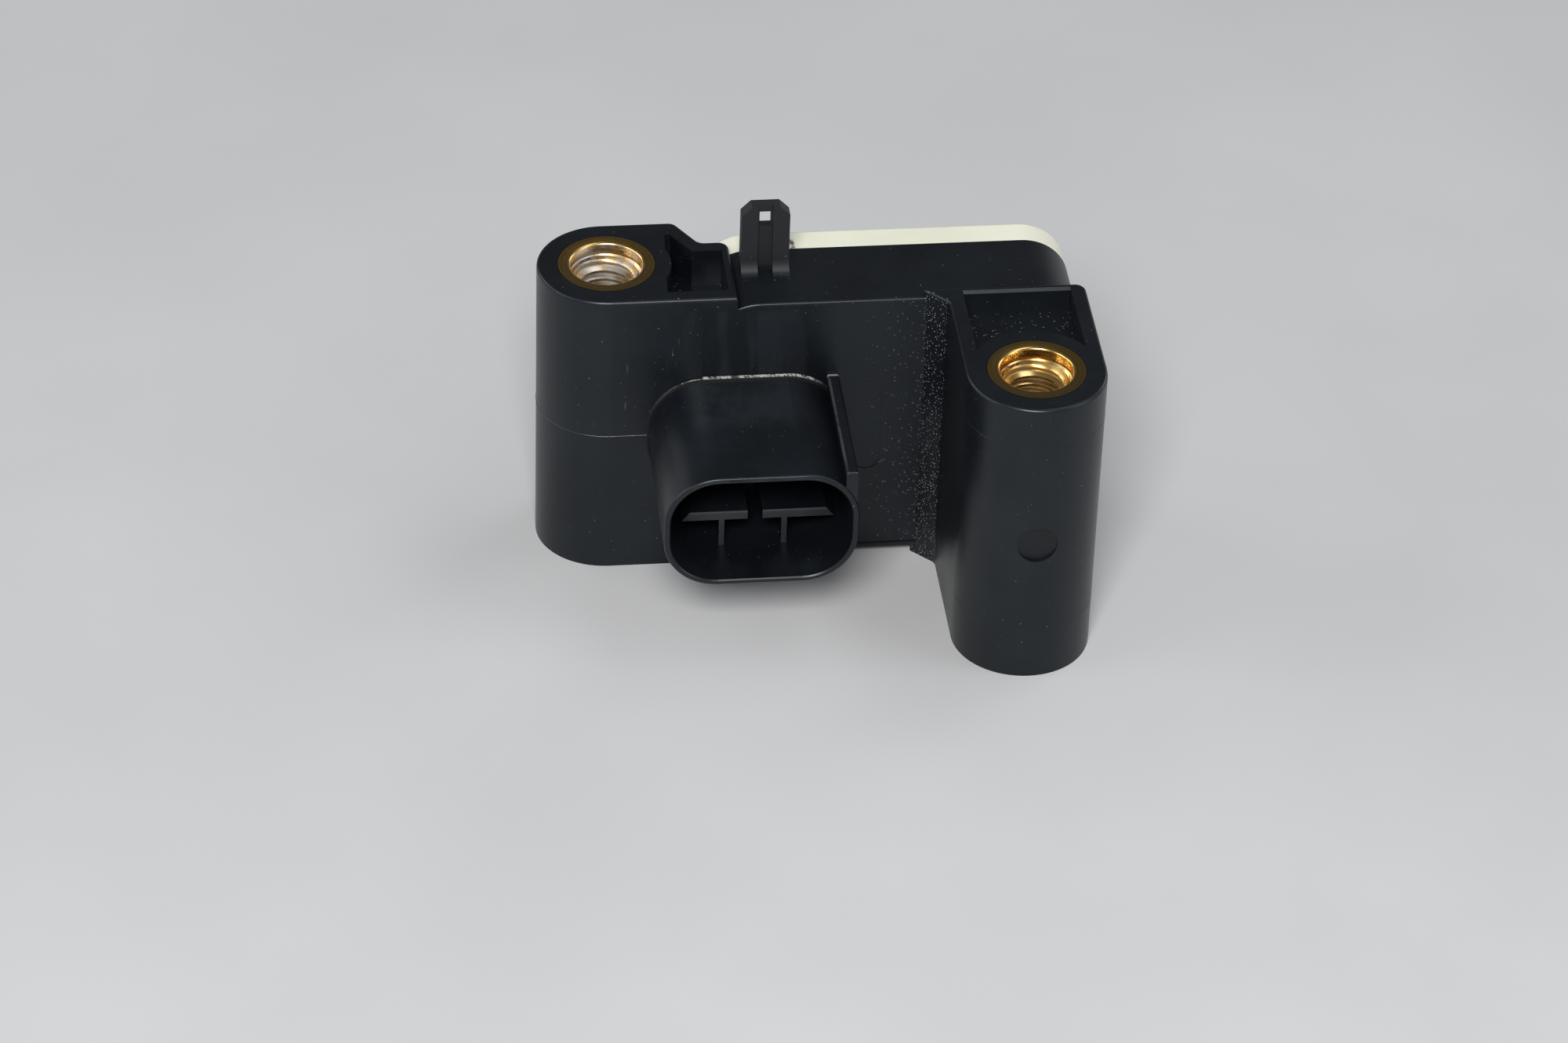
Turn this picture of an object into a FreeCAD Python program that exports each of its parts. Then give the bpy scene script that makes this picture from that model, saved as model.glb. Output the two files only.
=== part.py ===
"""Acceleration sensor: a moulded housing with two brass bushes, its lid and the electronics inside."""
import FreeCAD, Part
import os

V = FreeCAD.Vector

# Mounting bosses: the left one stands on the origin, the right one on RIGHT_X, RIGHT_Y
HEIGHT = 41.6
BOSS_R = 8.9
RIGHT_X = 51.5
RIGHT_Y = -27.0
EDGE_R = 0.5

# Brass bushes with an M8 thread
BUSH_R = 6.5
THREAD_MINOR_R = 3.32
LEAD_IN_R = 4.6
LEAD_IN_DEPTH = 2.0
BUSH_CHAMFER = 0.3
GRIP_DEPTH = 0.6
GRIP_LENGTH = 3.0
GRIP_SPACING = 9.0

# Electronics box between the bosses, open at the back
FRONT_Y = -BOSS_R
BOX_BACK_Y = 3.4
BOX_LEFT_X = 12.3
BOX_RIGHT_X = RIGHT_X + BOSS_R
BOX_INSET = 1.1
BOX_CORNER_R = 6.5
BOX_EDGE_R = 0.35
BOX_WALL = 2.4
CAVITY_LEFT_X = 18.4
BOX_LOW_Z = BOX_INSET
BOX_TOP_Z = HEIGHT - BOX_INSET

# Left block around the left boss
BLOCK_RIGHT_X = 15.95
BLOCK_STEP_X = 9.4
BLOCK_STEP_Y = 4.1
BLOCK_CORNER_R = 1.3
BLOCK_CORE_LEFT_X = 7.2
BLOCK_CORE_BACK_Y = 2.0
BLOCK_CORE_KNEE_X = 11.2
BLOCK_CORE_TIP_X = 8.7
BLOCK_CORE_TIP_Y = 6.0
BLOCK_CORE_LEAN = 0.8
BLOCK_CORE_DEPTH = 5.4
BLOCK_SIDE_WALL = 0.95
CORE_WALL = 1.9
CORE_RING_R = 8.3
CORE_WEB = 2.6

# Right arm around the right boss
SHOULDER = 2.4
ARM_CORNER_R = 1.4
ARM_BACK_Y = -8.4
ARM_CORE_BACK_Y = -9.5
ARM_CORE_DEPTH = 3.6
ARM_CORE_EASE = 0.35
ARM_WALL = 2.0

# Shallow panel and bare marking field on the front plate
PANEL_LEFT_X = 11.7
PANEL_DEPTH = 0.2
PANEL_MARGIN = 0.75
FIELD_INSET = 6.9
FIELD_Z = 21.4
FIELD_WIDTH = 3.4
FIELD_HEIGHT = 15.0
FIELD_DEPTH = 0.12

# Ejector mark on the front of the right boss
MARK_R = 2.6
MARK_DEPTH = 0.5

# Plug shroud
SHROUD_X = 17.25
SHROUD_Z = HEIGHT / 2
SHROUD_WIDTH = 24.7
SHROUD_HEIGHT = 16.6
SHROUD_CORNER_R = 7.0
SHROUD_WALL = 0.8
SHROUD_MOUTH_Y = -30.4
SOCKET_FLOOR_Y = -11.0
CODING_RIB_INSET = 1.1
CODING_RIB_WIDTH = 1.5
CODING_RIB_SETBACK = 0.3
CODING_RIB_REACH = 3.2
CODING_RIB_EDGE_R = 0.25
SHROUD_RIM_R = 0.35
SOCKET_EDGE = 0.15

# T ribs in the socket
T_FRONT_Y = -23.0
T_BAR_THICKNESS = 1.3
T_BAR_LOW_Z = 17.3
T_SLOT = 1.9
T_LEFT_REACH = 9.35
T_RIGHT_REACH = 10.05
T_STEM_SPACING = 8.0
T_STEM_SHIFT = 0.25
T_STEM_THICKNESS = 0.7
T_END_CHAMFER = 1.0

# Locating tab on top of the box
TAB_X = 20.15
TAB_WIDTH = 6.2
TAB_FRONT_Y = -1.4
TAB_THICKNESS = 1.8
TAB_TOP_Z = 50.2
TAB_CHAMFER = 1.3
TAB_CHANNEL_WIDTH = 1.9
TAB_CHANNEL_DEPTH = 0.7
TAB_WINDOW_WIDTH = 1.5
TAB_WINDOW_DROP = 3.2
TAB_WINDOW_HEIGHT = 2.1
TAB_ROOT = 1.0
TAB_FOOT_HEIGHT = 2.0
TAB_FOOT_STEP = 0.25
TAB_FLARE_R = 1.7

# Rear cover with its tongue, and the seal in the groove of the box rim
COVER_DEPTH = 4.2
COVER_WALL = 2.0
COVER_EDGE_R = 0.7
COVER_GAP = 0.15
GROOVE_LAND = 0.7
GROOVE_WIDTH = 1.0
GROOVE_DEPTH = 1.2
TONGUE_CLEARANCE = 0.1
TONGUE_LENGTH = 0.7

# Circuit board on posts of the housing, held by pegs of the cover
BOARD_THICKNESS = 1.6
BOARD_FRONT_Y = -0.4
BOARD_CLEARANCE = 0.5
POST_R = 2.0
PEG_R = 1.6
POST_INSET_X = 4.0
POST_INSET_Z = 4.0

# Pins from the socket to the board
PIN_PITCH = 6.0
PIN_WIDTH = 2.4
PIN_THICKNESS = 0.8
PIN_Z = 23.4
PIN_TIP_Y = -22.6
PIN_TIP_CHAMFER = 0.6
STRIP_FRONT_Y = -10.0
TAIL_X = 21.2
TAIL_PITCH = 3.0
TAIL_SIDE = 0.8
TAIL_LENGTH = 1.0
PIN_HOLE_R = 0.75
SOLDER_R = 1.2

# Packages on the board
ACCEL_X = 41.0
ACCEL_Z = 21.5
ACCEL_SIZE = (10.0, 3.0, 8.0)
ACCEL_LEAD_PITCH = 1.8
SIGNAL_X = 31.0
SIGNAL_Z = 11.0
SIGNAL_SIZE = (4.0, 1.5, 5.0)
SIGNAL_LEAD_PITCH = 1.27
LEADS_PER_SIDE = 4
LEAD_WIDTH = 0.42
LEAD_THICKNESS = 0.2
LEAD_REACH = 1.2
LEAD_FOOT = 0.6
CHIP_LIFT = 0.2
CAPACITOR_SIZE = (3.2, 1.2, 1.6)
CAPACITOR_X = 32.0
CAPACITOR_Z = 30.5
CAPACITOR_PITCH = 4.8
RESISTOR_SIZE = (2.0, 0.5, 1.25)
RESISTOR_X = 38.5
RESISTOR_Z = 9.5
RESISTOR_PITCH = 3.2
SUPPRESSOR_SIZE = (2.6, 2.3, 4.4)
SUPPRESSOR_X = 27.0
SUPPRESSOR_Z = 23.2

# Reach of a cutting shape past the face that it opens, and of a root into its neighbour
OVERCUT = 1.0
EMBED = 0.5

PLATE_END_X = RIGHT_X - BOSS_R - SHOULDER
FIELD_X = PLATE_END_X - FIELD_INSET
CODING_RIB_X = SHROUD_X + SHROUD_WIDTH / 2 - CODING_RIB_INSET
TAB_WINDOW_LOW_Z = TAB_TOP_Z - TAB_WINDOW_DROP
BOARD_BACK_Y = BOARD_FRONT_Y + BOARD_THICKNESS
CAVITY_FRONT_Y = FRONT_Y + BOX_WALL
CAVITY_RIGHT_X = BOX_RIGHT_X - BOX_WALL
CAVITY_LOW_Z = BOX_LOW_Z + BOX_WALL
CAVITY_TOP_Z = BOX_TOP_Z - BOX_WALL
CAVITY_CORNER_R = BOX_CORNER_R - BOX_WALL
COVER_BACK_Y = BOX_BACK_Y + COVER_DEPTH
PIN_XS = (SHROUD_X - PIN_PITCH, SHROUD_X, SHROUD_X + PIN_PITCH)
TAIL_ZS = (PIN_Z + TAIL_PITCH, PIN_Z, PIN_Z - TAIL_PITCH)


def block(x0, x1, y0, y1, z0, z1):
    """A box between the given limits."""
    return Part.makeBox(x1 - x0, y1 - y0, z1 - z0, V(x0, y0, z0))


def upright(radius, x, y, z0, z1):
    """A cylinder that stands on the given place."""
    return Part.makeCylinder(radius, z1 - z0, V(x, y, z0), V(0, 0, 1))


def rod(radius, x, z, y0, y1):
    """A cylinder that runs back to front."""
    return Part.makeCylinder(radius, y1 - y0, V(x, y0, z), V(0, 1, 0))


def prism(corners, direction):
    """A closed outline of straight sides, pushed out along a direction."""
    return Part.Face(Part.makePolygon(corners + corners[:1])).extrude(direction)


def edges_at(shape, axis, value):
    """The edges of a shape that lie wholly in one plane across an axis."""
    low = axis + "Min"
    high = axis + "Max"
    return [e for e in shape.Edges
            if abs(getattr(e.BoundBox, low) - value) < 1e-4 and abs(getattr(e.BoundBox, high) - value) < 1e-4]


def edges_along(shape, axis, points):
    """The straight edges along an axis that pass through one of the given points of the other two axes."""
    others = [k for k in "XYZ" if k != axis]
    found = []
    for e in shape.Edges:
        box = e.BoundBox
        if getattr(box, axis + "Length") < 0.3:
            continue
        for p in points:
            if all(abs(getattr(box, k + "Min") - v) < 1e-4 and abs(getattr(box, k + "Max") - v) < 1e-4
                   for k, v in zip(others, p)):
                found.append(e)
    return found


def slab(x0, x1, z0, z1, radius, y0, y1):
    """An upright slab with rounded corners, flat to the front."""
    raw = block(x0, x1, y0, y1, z0, z1)
    corners = [(x, z) for x in (x0, x1) for z in (z0, z1)]
    return raw.makeFillet(radius, edges_along(raw, "Y", corners))


def ring(x0, x1, z0, z1, radius, width, y0, y1):
    """A rounded frame: a slab with a smaller slab taken out."""
    outer = slab(x0, x1, z0, z1, radius, y0, y1)
    return outer.cut(slab(x0 + width, x1 - width, z0 + width, z1 - width, radius - width, y0, y1))


def bush_profile():
    """Half section of a bush as radius and height, closed on itself."""
    grip_low = HEIGHT / 2 - GRIP_SPACING / 2
    grip_high = HEIGHT / 2 + GRIP_SPACING / 2
    outside = [(BUSH_R - BUSH_CHAMFER, 0), (BUSH_R, BUSH_CHAMFER)]
    grip_r = BUSH_R - GRIP_DEPTH
    for mid in (grip_low, grip_high):
        low = mid - GRIP_LENGTH / 2
        high = mid + GRIP_LENGTH / 2
        outside += [(BUSH_R, low), (grip_r, low + GRIP_DEPTH), (grip_r, high - GRIP_DEPTH), (BUSH_R, high)]
    outside += [(BUSH_R, HEIGHT - BUSH_CHAMFER), (BUSH_R - BUSH_CHAMFER, HEIGHT)]
    cone = LEAD_IN_R - THREAD_MINOR_R
    half = [(THREAD_MINOR_R, LEAD_IN_DEPTH + cone / 2), (LEAD_IN_R, LEAD_IN_DEPTH),
            (LEAD_IN_R, BUSH_CHAMFER), (LEAD_IN_R + BUSH_CHAMFER, 0)]
    top = [(r, HEIGHT - z) for r, z in reversed(half)]
    return outside + top + half


def make_bush(x, y):
    """One brass bush, turned about its own axis."""
    corners = [V(x + r, y, z) for r, z in bush_profile()]
    face = Part.Face(Part.makePolygon(corners + corners[:1]))
    return face.revolve(V(x, y, 0), V(0, 0, 1), 360)


def bush_blank(x, y):
    """A bush without its bore: the room that the moulding leaves for it."""
    return make_bush(x, y).fuse(upright(LEAD_IN_R + BUSH_CHAMFER, x, y, 0, HEIGHT)).removeSplitter()


def make_left_block():
    """The block that carries the left boss, with its top edges rounded."""
    arc = Part.Arc(V(0, BOSS_R, 0), V(-BOSS_R, 0, 0), V(0, -BOSS_R, 0)).toShape()
    path = [V(0, -BOSS_R, 0), V(BLOCK_RIGHT_X, -BOSS_R, 0), V(BLOCK_RIGHT_X, BLOCK_STEP_Y, 0),
            V(BOX_LEFT_X, BLOCK_STEP_Y, 0), V(BLOCK_STEP_X, BOSS_R, 0), V(0, BOSS_R, 0)]
    sides = [Part.makeLine(a, b) for a, b in zip(path, path[1:])]
    solid = Part.Face(Part.Wire(sides + [arc])).extrude(V(0, 0, HEIGHT))
    corners = [(BLOCK_RIGHT_X, BLOCK_STEP_Y), (BOX_LEFT_X, BLOCK_STEP_Y), (BLOCK_STEP_X, BOSS_R)]
    solid = solid.makeFillet(BLOCK_CORNER_R, edges_along(solid, "Z", corners))
    return solid.makeFillet(EDGE_R, edges_at(solid, "Z", HEIGHT))


def left_core(z0, z1):
    """The cored-out room between the left boss and the box."""
    right = BLOCK_RIGHT_X - BLOCK_SIDE_WALL
    front = FRONT_Y + CORE_WALL
    corners = [V(BLOCK_CORE_LEFT_X, front, z0), V(right, front, z0), V(right, BLOCK_CORE_BACK_Y, z0),
               V(BLOCK_CORE_KNEE_X, BLOCK_CORE_BACK_Y, z0), V(BLOCK_CORE_TIP_X, BLOCK_CORE_TIP_Y, z0),
               V(BLOCK_CORE_LEFT_X + BLOCK_CORE_LEAN, BLOCK_CORE_TIP_Y, z0)]
    return prism(corners, V(0, 0, z1 - z0)).cut(upright(CORE_RING_R, 0, 0, z0, z1))


def make_arm():
    """The arm that carries the right boss, with its slanted left shoulder."""
    left = RIGHT_X - BOSS_R
    right = RIGHT_X + BOSS_R
    shoulder = FRONT_Y - SHOULDER
    arc = Part.Arc(V(right, RIGHT_Y, 0), V(RIGHT_X, RIGHT_Y - BOSS_R, 0), V(left, RIGHT_Y, 0)).toShape()
    slant_end = PLATE_END_X - (ARM_BACK_Y - FRONT_Y)
    path = [V(left, RIGHT_Y, 0), V(left, shoulder, 0), V(slant_end, ARM_BACK_Y, 0),
            V(right, ARM_BACK_Y, 0), V(right, RIGHT_Y, 0)]
    sides = [Part.makeLine(a, b) for a, b in zip(path, path[1:])]
    solid = Part.Face(Part.Wire(sides + [arc])).extrude(V(0, 0, HEIGHT))
    corners = [(left, shoulder), (right, ARM_BACK_Y)]
    solid = solid.makeFillet(ARM_CORNER_R, edges_along(solid, "Z", corners))
    return solid.makeFillet(EDGE_R, edges_at(solid, "Z", HEIGHT))


def arm_core(z0, z1):
    """The cored-out room between the right boss and the box."""
    room = block(RIGHT_X - BOSS_R + ARM_WALL, RIGHT_X + BOSS_R - ARM_WALL, RIGHT_Y, ARM_CORE_BACK_Y, z0, z1)
    return room.cut(upright(CORE_RING_R, RIGHT_X, RIGHT_Y, z0, z1))


def arm_core_ease():
    """The eased upper edge of the arm pocket's back wall."""
    left = RIGHT_X - BOSS_R + ARM_WALL
    width = V(2 * (BOSS_R - ARM_WALL), 0, 0)
    low = HEIGHT - ARM_CORE_EASE
    corners = [V(left, ARM_CORE_BACK_Y, low), V(left, ARM_CORE_BACK_Y + ARM_CORE_EASE, HEIGHT),
               V(left, ARM_CORE_BACK_Y, HEIGHT)]
    return prism(corners, width)


def make_box():
    """The electronics box as a full slab, its front edges rounded."""
    solid = slab(BOX_LEFT_X, BOX_RIGHT_X, BOX_LOW_Z, BOX_TOP_Z, BOX_CORNER_R, FRONT_Y, BOX_BACK_Y)
    return solid.makeFillet(BOX_EDGE_R, edges_at(solid, "Y", FRONT_Y))


def front_marks():
    """The shallow panel and the bare marking field in the front plate."""
    panel = block(PANEL_LEFT_X, PLATE_END_X, FRONT_Y - OVERCUT, FRONT_Y + PANEL_DEPTH,
                  BOX_LOW_Z + PANEL_MARGIN, BOX_TOP_Z - PANEL_MARGIN)
    field = slab(FIELD_X - FIELD_WIDTH / 2, FIELD_X + FIELD_WIDTH / 2, FIELD_Z - FIELD_HEIGHT / 2,
                 FIELD_Z + FIELD_HEIGHT / 2, FIELD_WIDTH * 0.49, FRONT_Y - OVERCUT,
                 FRONT_Y + PANEL_DEPTH + FIELD_DEPTH)
    return panel.fuse(field)


def shroud_slab(inset, y0, y1):
    """The shroud's outline made smaller all round by an inset."""
    wide = SHROUD_WIDTH / 2 - inset
    high = SHROUD_HEIGHT / 2 - inset
    return slab(SHROUD_X - wide, SHROUD_X + wide, SHROUD_Z - high, SHROUD_Z + high,
                SHROUD_CORNER_R - inset, y0, y1)


def make_shroud():
    """The plug shroud with its coding rib, open to the front."""
    outer = shroud_slab(0, SHROUD_MOUTH_Y, CAVITY_FRONT_Y)
    outer = outer.makeFillet(SHROUD_RIM_R, edges_at(outer, "Y", SHROUD_MOUTH_Y))
    left = CODING_RIB_X - CODING_RIB_WIDTH / 2
    right = CODING_RIB_X + CODING_RIB_WIDTH / 2
    front = SHROUD_MOUTH_Y + CODING_RIB_SETBACK
    top = SHROUD_Z + SHROUD_HEIGHT / 2
    rib = block(left, right, front, CAVITY_FRONT_Y, SHROUD_Z + CODING_RIB_REACH, top)
    edges = edges_along(rib, "Y", [(left, top), (right, top)]) + edges_along(rib, "X", [(front, top)])
    return outer.fuse(rib.makeFillet(CODING_RIB_EDGE_R, edges))


def make_socket():
    """The room inside the shroud, with its rim eased."""
    room = shroud_slab(SHROUD_WALL, SHROUD_MOUTH_Y, SOCKET_FLOOR_Y)
    depth = SHROUD_MOUTH_Y + SOCKET_EDGE
    flare = shroud_slab(SHROUD_WALL - SOCKET_EDGE, SHROUD_MOUTH_Y - OVERCUT, depth)
    flare = flare.makeChamfer(SOCKET_EDGE, edges_at(flare, "Y", depth))
    return room.fuse(flare)


def make_t_ribs():
    """The two T ribs that stand on the floor of the socket."""
    floor = SHROUD_Z - SHROUD_HEIGHT / 2 + SHROUD_WALL / 2
    top = T_BAR_LOW_Z + T_BAR_THICKNESS
    back = SOCKET_FLOOR_Y + EMBED
    depth = V(0, back - T_FRONT_Y, 0)
    solids = []
    for side, end in ((-1, SHROUD_X - T_LEFT_REACH), (1, SHROUD_X + T_RIGHT_REACH)):
        slot = SHROUD_X + side * T_SLOT / 2
        slant = end - side * T_END_CHAMFER
        bar = prism([V(slot, T_FRONT_Y, T_BAR_LOW_Z), V(end, T_FRONT_Y, T_BAR_LOW_Z),
                     V(slant, T_FRONT_Y, top), V(slot, T_FRONT_Y, top)], depth)
        mid = SHROUD_X - T_STEM_SHIFT + side * T_STEM_SPACING / 2
        stem = block(mid - T_STEM_THICKNESS / 2, mid + T_STEM_THICKNESS / 2, T_FRONT_Y,
                     back, floor, T_BAR_LOW_Z + T_BAR_THICKNESS / 2)
        solids += [bar, stem]
    return solids[0].multiFuse(solids[1:])


def tab_outline(y):
    """Front outline of the tab, with its top corners cut."""
    left = TAB_X - TAB_WIDTH / 2
    right = TAB_X + TAB_WIDTH / 2
    foot = BOX_TOP_Z - TAB_ROOT
    return [V(left, y, foot), V(right, y, foot), V(right, y, TAB_TOP_Z - TAB_CHAMFER),
            V(right - TAB_CHAMFER, y, TAB_TOP_Z), V(left + TAB_CHAMFER, y, TAB_TOP_Z),
            V(left, y, TAB_TOP_Z - TAB_CHAMFER)]


def make_tab():
    """The locating tab with its channel, its window and its flared foot."""
    plate = prism(tab_outline(TAB_FRONT_Y), V(0, TAB_THICKNESS, 0))
    left = TAB_X - TAB_WIDTH / 2
    right = TAB_X + TAB_WIDTH / 2
    foot = block(left, right, TAB_FRONT_Y - TAB_FOOT_STEP, TAB_FRONT_Y + TAB_THICKNESS,
                 BOX_TOP_Z - TAB_ROOT, BOX_TOP_Z + TAB_FOOT_HEIGHT)
    face_y = TAB_FRONT_Y - TAB_FOOT_STEP
    toe = block(left, right, face_y - TAB_FLARE_R, face_y, BOX_TOP_Z - TAB_ROOT, BOX_TOP_Z + TAB_FLARE_R)
    hollow = Part.makeCylinder(TAB_FLARE_R, TAB_WIDTH, V(left, face_y - TAB_FLARE_R, BOX_TOP_Z + TAB_FLARE_R),
                               V(1, 0, 0))
    solid = plate.multiFuse([foot, toe.cut(hollow)])
    half = TAB_CHANNEL_WIDTH / 2
    channel = block(TAB_X - half, TAB_X + half, face_y - TAB_FLARE_R, TAB_FRONT_Y + TAB_CHANNEL_DEPTH,
                    BOX_TOP_Z, TAB_TOP_Z)
    window = block(TAB_X - TAB_WINDOW_WIDTH / 2, TAB_X + TAB_WINDOW_WIDTH / 2, TAB_FRONT_Y,
                   TAB_FRONT_Y + TAB_THICKNESS, TAB_WINDOW_LOW_Z, TAB_WINDOW_LOW_Z + TAB_WINDOW_HEIGHT)
    return solid.cut(channel).cut(window)


def post_places():
    """The four places where posts and pegs hold the board."""
    xs = (CAVITY_LEFT_X + POST_INSET_X, CAVITY_RIGHT_X - POST_INSET_X)
    zs = (CAVITY_LOW_Z + POST_INSET_Z, CAVITY_TOP_Z - POST_INSET_Z)
    return [(x, z) for x in xs for z in zs]


def groove(width_inset, y0, y1):
    """The sealing groove around the open back of the box, or a narrower ring inside it."""
    reach = GROOVE_LAND + GROOVE_WIDTH - width_inset
    return ring(CAVITY_LEFT_X - reach, CAVITY_RIGHT_X + reach, CAVITY_LOW_Z - reach, CAVITY_TOP_Z + reach,
                CAVITY_CORNER_R + reach, GROOVE_WIDTH - 2 * width_inset, y0, y1)


def make_terminal(pin_x, tail_z):
    """One flat pin: blade in the socket, strip across the wall, tail through the board."""
    half = PIN_WIDTH / 2
    low = PIN_Z - PIN_THICKNESS / 2
    blade = prism([V(pin_x - half, STRIP_FRONT_Y + PIN_THICKNESS, low),
                   V(pin_x - half, PIN_TIP_Y + PIN_TIP_CHAMFER, low),
                   V(pin_x - half + PIN_TIP_CHAMFER, PIN_TIP_Y, low),
                   V(pin_x + half - PIN_TIP_CHAMFER, PIN_TIP_Y, low),
                   V(pin_x + half, PIN_TIP_Y + PIN_TIP_CHAMFER, low),
                   V(pin_x + half, STRIP_FRONT_Y + PIN_THICKNESS, low)], V(0, 0, PIN_THICKNESS))
    side = TAIL_SIDE / 2
    back = STRIP_FRONT_Y + PIN_THICKNESS
    riser = block(pin_x - half, pin_x + half, STRIP_FRONT_Y, back,
                  min(low, tail_z - side), max(low + PIN_THICKNESS, tail_z + side))
    strip = block(min(pin_x, TAIL_X - side), max(pin_x, TAIL_X + side), STRIP_FRONT_Y, back,
                  tail_z - side, tail_z + side)
    tail = block(TAIL_X - side, TAIL_X + side, STRIP_FRONT_Y, BOARD_BACK_Y + TAIL_LENGTH,
                 tail_z - side, tail_z + side)
    return blade.multiFuse([riser, strip, tail]).removeSplitter()


def make_housing(terminals):
    """The one black moulding, with room left for the bushes and the pins."""
    plate = make_left_block().multiFuse([make_arm(), make_box()])
    plate = plate.cut(front_marks())
    body = plate.multiFuse([make_shroud(), make_tab()])
    body = body.cut(make_socket())
    body = body.fuse(make_t_ribs())
    body = body.cut(slab(CAVITY_LEFT_X, CAVITY_RIGHT_X, CAVITY_LOW_Z, CAVITY_TOP_Z, CAVITY_CORNER_R,
                         CAVITY_FRONT_Y, BOX_BACK_Y))
    for x, z in post_places():
        body = body.fuse(rod(POST_R, x, z, CAVITY_FRONT_Y - EMBED, BOARD_FRONT_Y))
    core_top = HEIGHT - BLOCK_CORE_DEPTH
    arm_top = HEIGHT - ARM_CORE_DEPTH
    seat = block(BOX_LEFT_X - COVER_GAP, BLOCK_RIGHT_X + OVERCUT, BOX_BACK_Y, BLOCK_STEP_Y + OVERCUT,
                 BOX_LOW_Z - COVER_GAP, BOX_TOP_Z + COVER_GAP)
    boss_front = RIGHT_Y - BOSS_R
    mark = rod(MARK_R, RIGHT_X, HEIGHT / 2, boss_front - OVERCUT, boss_front + MARK_DEPTH)
    away = [left_core(core_top, HEIGHT), left_core(0, core_top - CORE_WEB),
            arm_core(arm_top, HEIGHT), arm_core_ease(), arm_core(0, arm_top - CORE_WEB),
            groove(0, BOX_BACK_Y - GROOVE_DEPTH, BOX_BACK_Y), seat, mark,
            bush_blank(0, 0), bush_blank(RIGHT_X, RIGHT_Y)]
    for tool in away + terminals:
        body = body.cut(tool)
    return body.removeSplitter()


def make_cover():
    """The cream lid: a shallow pan with a tongue and four pegs."""
    solid = slab(BOX_LEFT_X, BOX_RIGHT_X, BOX_LOW_Z, BOX_TOP_Z, BOX_CORNER_R, BOX_BACK_Y, COVER_BACK_Y)
    solid = solid.makeFillet(COVER_EDGE_R, edges_at(solid, "Y", COVER_BACK_Y))
    inside = COVER_BACK_Y - COVER_WALL
    solid = solid.cut(slab(CAVITY_LEFT_X, CAVITY_RIGHT_X, CAVITY_LOW_Z, CAVITY_TOP_Z, CAVITY_CORNER_R,
                           BOX_BACK_Y, inside))
    parts = [groove(TONGUE_CLEARANCE, BOX_BACK_Y - TONGUE_LENGTH, BOX_BACK_Y)]
    for x, z in post_places():
        parts.append(rod(PEG_R, x, z, BOARD_BACK_Y, inside))
    return solid.multiFuse(parts).removeSplitter()


def make_seal():
    """The seal that fills the bottom of the groove under the tongue."""
    return groove(0, BOX_BACK_Y - GROOVE_DEPTH, BOX_BACK_Y - TONGUE_LENGTH)


def make_board():
    """The circuit board with holes for the pin tails."""
    gap = BOARD_CLEARANCE
    board = slab(CAVITY_LEFT_X + gap, CAVITY_RIGHT_X - gap, CAVITY_LOW_Z + gap, CAVITY_TOP_Z - gap,
                 CAVITY_CORNER_R - gap, BOARD_FRONT_Y, BOARD_BACK_Y)
    for z in TAIL_ZS:
        board = board.cut(rod(PIN_HOLE_R, TAIL_X, z, BOARD_FRONT_Y, BOARD_BACK_Y))
    return board


def make_solder(terminals):
    """Solder around each tail: it fills the hole and rises as a cone behind the board."""
    joints = []
    for z, pin in zip(TAIL_ZS, terminals):
        plug = rod(PIN_HOLE_R, TAIL_X, z, BOARD_FRONT_Y, BOARD_BACK_Y)
        cone = Part.makeCone(SOLDER_R, TAIL_SIDE, TAIL_LENGTH * 0.7, V(TAIL_X, BOARD_BACK_Y, z), V(0, 1, 0))
        joints.append(plug.fuse(cone).cut(pin).removeSplitter())
    return Part.makeCompound(joints)


def on_board(size, x, z, lift=0.0):
    """A package of a given size, centred on a place on the back of the board."""
    wide, deep, high = size
    low = BOARD_BACK_Y + lift
    return block(x - wide / 2, x + wide / 2, low, low + deep, z - high / 2, z + high / 2)


def make_leads(size, x, z, pitch):
    """Bent leads along both sides of a package, each standing on the board."""
    wide, deep, high = size
    shoulder = BOARD_BACK_Y + CHIP_LIFT + deep / 2
    leads = []
    for side in (-1, 1):
        root = x + side * wide / 2
        knee = root + side * (LEAD_REACH - LEAD_FOOT)
        inner = knee - side * LEAD_THICKNESS
        toe = root + side * LEAD_REACH
        for k in range(LEADS_PER_SIDE):
            low = z + (k - (LEADS_PER_SIDE - 1) / 2) * pitch - LEAD_WIDTH / 2
            path = [(root, shoulder), (root, shoulder + LEAD_THICKNESS), (knee, shoulder + LEAD_THICKNESS),
                    (knee, BOARD_BACK_Y + LEAD_THICKNESS), (toe, BOARD_BACK_Y + LEAD_THICKNESS),
                    (toe, BOARD_BACK_Y), (inner, BOARD_BACK_Y), (inner, shoulder)]
            leads.append(prism([V(px, py, low) for px, py in path], V(0, 0, LEAD_WIDTH)))
    return Part.makeCompound(leads)


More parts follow.
